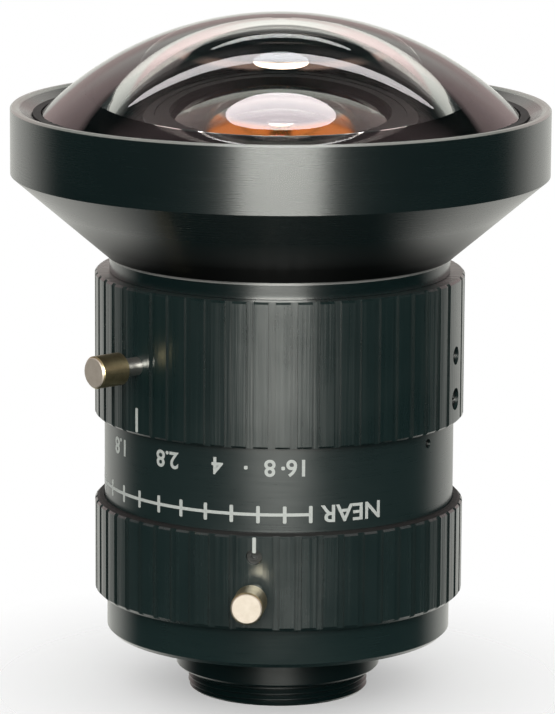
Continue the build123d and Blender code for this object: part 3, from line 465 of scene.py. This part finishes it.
def block(wide, tall):
    """A flat rectangular mark as a thin solid with rounded corners. Its faces are made one by one,
    because the extrude operator leaves them in another order on each run."""
    shape = bmesh.new()
    corner = min(wide, tall) * CORNER_SHARE
    outline = []
    for sx, sy, first in ((1, 1, 0), (-1, 1, 90), (-1, -1, 180), (1, -1, 270)):
        for k in range(CORNER_POINTS):
            a = math.radians(first + k * 90 / (CORNER_POINTS - 1))
            outline.append((sx * (wide / 2 - corner) + corner * math.cos(a),
                            sy * (tall / 2 - corner) + corner * math.sin(a)))
    under = [shape.verts.new((x, y, -PAINT_DEPTH)) for x, y in outline]
    over = [shape.verts.new((x, y, PAINT_PROUD)) for x, y in outline]
    shape.faces.new(under[::-1])
    shape.faces.new(over)
    for k in range(len(outline)):
        shape.faces.new((under[k - 1], under[k], over[k], over[k - 1]))
    mesh = bpy.data.meshes.new("mark")
    shape.to_mesh(mesh)
    shape.free()
    return mesh


def at(seen):
    """A turn seen from the camera's side, positive to its left, as an angle from the X axis."""
    return -90.0 - seen


STOP_NUMBERS = (("1.8", 63.0), ("2.8", 38.5), ("4", 20.0), ("8", 2.8), ("16", -6.0))
STOP_DOTS = (("stop_5_6", 10.5), ("stop_11", -1.4))
NEAR_TURN, FAR_TURN = -24.3, 111.5
TICK_COUNT = 13
FIRST_TICK, TICK_STEP, TICK_GROWTH = -10.3, 8.25, 0.08

for text, seen in STOP_NUMBERS:
    mesh = wrap(words(text), SLEEVE_RADIUS, at(seen), NUMBER_Z)
    show("stop_" + text.replace(".", "_"), mesh, "front_unit")
for name, seen in STOP_DOTS:
    show(name, wrap(block(DOT_WIDE, DOT_WIDE), SLEEVE_RADIUS, at(seen), NUMBER_Z), "front_unit")

ticks = [FIRST_TICK + TICK_STEP * k + TICK_GROWTH * k * k for k in range(TICK_COUNT)]
scale_long = math.radians(ticks[-1] - ticks[0]) * SLEEVE_RADIUS
show("distance_line", wrap(block(scale_long, SCALE_LINE_TALL), SLEEVE_RADIUS,
                           at((ticks[0] + ticks[-1]) / 2), SCALE_LINE_Z), "front_unit")
for k, seen in enumerate(ticks):
    tick = wrap(block(TICK_WIDE, TICK_TALL), SLEEVE_RADIUS, at(seen), SCALE_LINE_Z)
    show(f"distance_tick_{k + 1}", tick, "front_unit")
for name, text, seen in (("near_word", "NEAR", NEAR_TURN), ("far_word", "FAR", FAR_TURN)):
    word = wrap(words(text, WORD_STRETCH), SLEEVE_RADIUS, at(seen), SCALE_LINE_Z)
    show(name, word, "front_unit")
show("iris_index", wrap(block(INDEX_WIDE, IRIS_INDEX_TALL), GRIP_RADIUS, IRIS_SCREW_ANGLE,
                        IRIS_INDEX_Z), "iris_ring")
show("focus_index", wrap(block(INDEX_WIDE, FOCUS_INDEX_TALL), GRIP_RADIUS, FOCUS_SCREW_ANGLE,
                         FOCUS_INDEX_Z), "focus_ring")

# ---------------------------------------------------------------- floor
FLOOR_RADIUS = 0.2
FLOOR_SIDES = 96
FLOOR_DROP = 0.00001
FLOOR_PATCH_SCALE = 25.0
FLOOR_GREY, FLOOR_PALE = (0.86, 0.86, 0.85, 1), (0.90, 0.90, 0.89, 1)
FADE_START, FADE_END = 0.013, 0.060
CLEAR_AT_START = 0.35


def floor_material():
    """A pale floor that fades into the white background away from the part."""
    f = Finish("floor_white", Roughness=0.9)
    patch = f.noise(f.place(), FLOOR_PATCH_SCALE, detail=3.0)
    f.link(f.mix(patch, FLOOR_GREY, FLOOR_PALE), "Base Color")
    away, _ = f.radius_height()
    fade = f.ramp(away, FADE_START, FADE_END, CLEAR_AT_START, 1.0)
    mixed = f.add("MixShader", fade, f.shader.outputs[0], f.add("BsdfTransparent"))
    f.tree.links.new(mixed, f.tree.nodes["Material Output"].inputs[0])
    return f.material


def disc(name, radius, sides):
    shape = bmesh.new()
    bmesh.ops.create_circle(shape, cap_ends=True, segments=sides, radius=radius)
    mesh = bpy.data.meshes.new(name)
    shape.to_mesh(mesh)
    shape.free()
    piece = bpy.data.objects.new(name, mesh)
    scene.collection.objects.link(piece)
    return piece


floor = disc("floor", FLOOR_RADIUS, FLOOR_SIDES)
floor.location.z = -FLOOR_DROP
floor.data.materials.append(floor_material())
floor.visible_glossy = False

# ---------------------------------------------------------------- world
# What glass and metal mirror, by direction: x to the right, y away from the camera, z up, each
# the share of a unit vector. Facing is the share of y in the level part of the direction.
BACKDROP_FACING = (0.35, 0.72)
BACKDROP_FOOT, BACKDROP_TOP = (-0.86, -0.69), (0.51, 0.56)
BAND_FOOT, BAND_TOP = (0.08, 0.14), (0.24, 0.33)
BLUSH_FACING, BLUSH_FOOT = (0.90, 0.985), (0.05, 0.15)
WALL_SIDE, WALL_FOOT, WALL_END = (0.14, 0.22), (0.10, 0.25), (0.20, 0.45)
AMBIENT_RISE = (-0.1, 0.2)

BACKDROP = (0.98, 0.98, 0.92, 1)
BAND = (0.73, 0.60, 0.57, 1)
BLUSH = (1.0, 0.80, 0.78, 1)
WALL = (0.68, 0.57, 0.56, 1)
DARK_ROOM = (0.018, 0.034, 0.034, 1)
AMBIENT_BELOW, AMBIENT_ABOVE = (0.12, 0.12, 0.12, 1), (0.75, 0.75, 0.75, 1)
WHITE = (1, 1, 1, 1)


def studio():
    """A white backdrop in a dark room. The backdrop blushes towards its sides and in a band above
    the level, and pale walls stand at both sides. Only mirroring and clear surfaces see all this:
    the camera sees white, and matt surfaces a plain soft light from above."""
    world = bpy.data.worlds.new("studio")
    scene.world = world
    world.use_nodes = True
    world.node_tree.nodes.clear()
    n = Nodes(world.node_tree)
    x, y, z = n.parts(n.add("TexCoord"))
    facing = n.maths("DIVIDE", y, n.length(x, y))
    backdrop = n.all_of(n.rise(facing, *BACKDROP_FACING), n.fall(z, *BACKDROP_TOP),
                        n.rise(z, *BACKDROP_FOOT))
    band = n.all_of(n.rise(z, *BAND_FOOT), n.fall(z, *BAND_TOP))
    blush = n.all_of(n.fall(facing, *BLUSH_FACING), n.rise(z, *BLUSH_FOOT))
    walls = n.all_of(n.rise(n.maths("ABSOLUTE", x), *WALL_SIDE), n.rise(z, *WALL_FOOT),
                     n.fall(y, *WALL_END))
    screen = n.mix(blush, n.mix(band, BACKDROP, BAND), BLUSH)
    room = n.mix(walls, n.mix(backdrop, DARK_ROOM, screen), WALL)
    rays = n.new("LightPath").outputs
    mirrored = n.maths("MAXIMUM", rays["Is Glossy Ray"], rays["Is Transmission Ray"])
    ambient = n.mix(n.rise(z, *AMBIENT_RISE), AMBIENT_BELOW, AMBIENT_ABOVE)
    colour = n.mix(rays["Is Camera Ray"], n.mix(mirrored, ambient, room), WHITE)
    n.tree.links.new(n.add("Background", colour, 1.0), n.new("OutputWorld").inputs[0])


studio()

# ---------------------------------------------------------------- lamps
AIM_LOW, AIM_HIGH = (0, 0, 0.05), (0, 0, 0.08)


def soft_box(name, place, aim, wide, tall, strength, shape="RECTANGLE", colour=(1.0, 1.0, 1.0),
             gloss_only=False):
    """A flat lamp whose face has about the given radiance. With gloss_only, it shows as a
    reflection and doesn't light matt surfaces."""
    lamp = bpy.data.lights.new(name, "AREA")
    lamp.shape = shape
    lamp.size, lamp.size_y = wide, tall
    lamp.energy = strength * wide * tall * math.pi
    lamp.color = colour
    holder = bpy.data.objects.new(name, lamp)
    scene.collection.objects.link(holder)
    holder.location = place
    holder.rotation_euler = (Vector(aim) - Vector(place)).to_track_quat("-Z", "Y").to_euler()
    holder.visible_diffuse = not gloss_only


soft_box("front_gloss", (0.0, -1.15, 0.33), AIM_LOW, wide=0.74, tall=0.48, strength=34.0,
         colour=(1.0, 1.0, 0.93), gloss_only=True)
soft_box("front_fill", (0.0, -1.2, 0.60), AIM_LOW, wide=0.8, tall=0.6, strength=4.0)
soft_box("top_box", (0.0, 0.08, 0.9), AIM_HIGH, wide=0.41, tall=0.26, strength=14.0,
         shape="ELLIPSE", gloss_only=True)
soft_box("back_box", (0.0, 0.60, 0.92), AIM_HIGH, wide=1.25, tall=0.11, strength=5.0,
         shape="ELLIPSE", gloss_only=True)

# ---------------------------------------------------------------- camera
PHOTO_WIDTH, PHOTO_HEIGHT = 555, 714
FOCAL_PIXELS = 4619
SENSOR_HEIGHT = 36.0
CAMERA_PLACE = (0, -0.638, 0.17315)
CAMERA_TURN, CAMERA_DOWN, CAMERA_ROLL = 0.024, 11.15, 0.324
NEAREST = 0.01

camera = bpy.data.cameras.new("camera")
camera.sensor_fit = "VERTICAL"
camera.sensor_height = SENSOR_HEIGHT
camera.sensor_width = SENSOR_HEIGHT * PHOTO_WIDTH / PHOTO_HEIGHT
camera.lens = FOCAL_PIXELS / PHOTO_HEIGHT * SENSOR_HEIGHT
camera.clip_start = NEAREST
viewer = bpy.data.objects.new("camera", camera)
scene.collection.objects.link(viewer)
viewer.matrix_world = (Matrix.Translation(CAMERA_PLACE)
                       @ Matrix.Rotation(math.radians(CAMERA_TURN), 4, "Z")
                       @ Matrix.Rotation(math.radians(90 - CAMERA_DOWN), 4, "X")
                       @ Matrix.Rotation(math.radians(CAMERA_ROLL), 4, "Z"))
scene.camera = viewer
scene.view_settings.view_transform = "Standard"

bpy.context.view_layer.update()
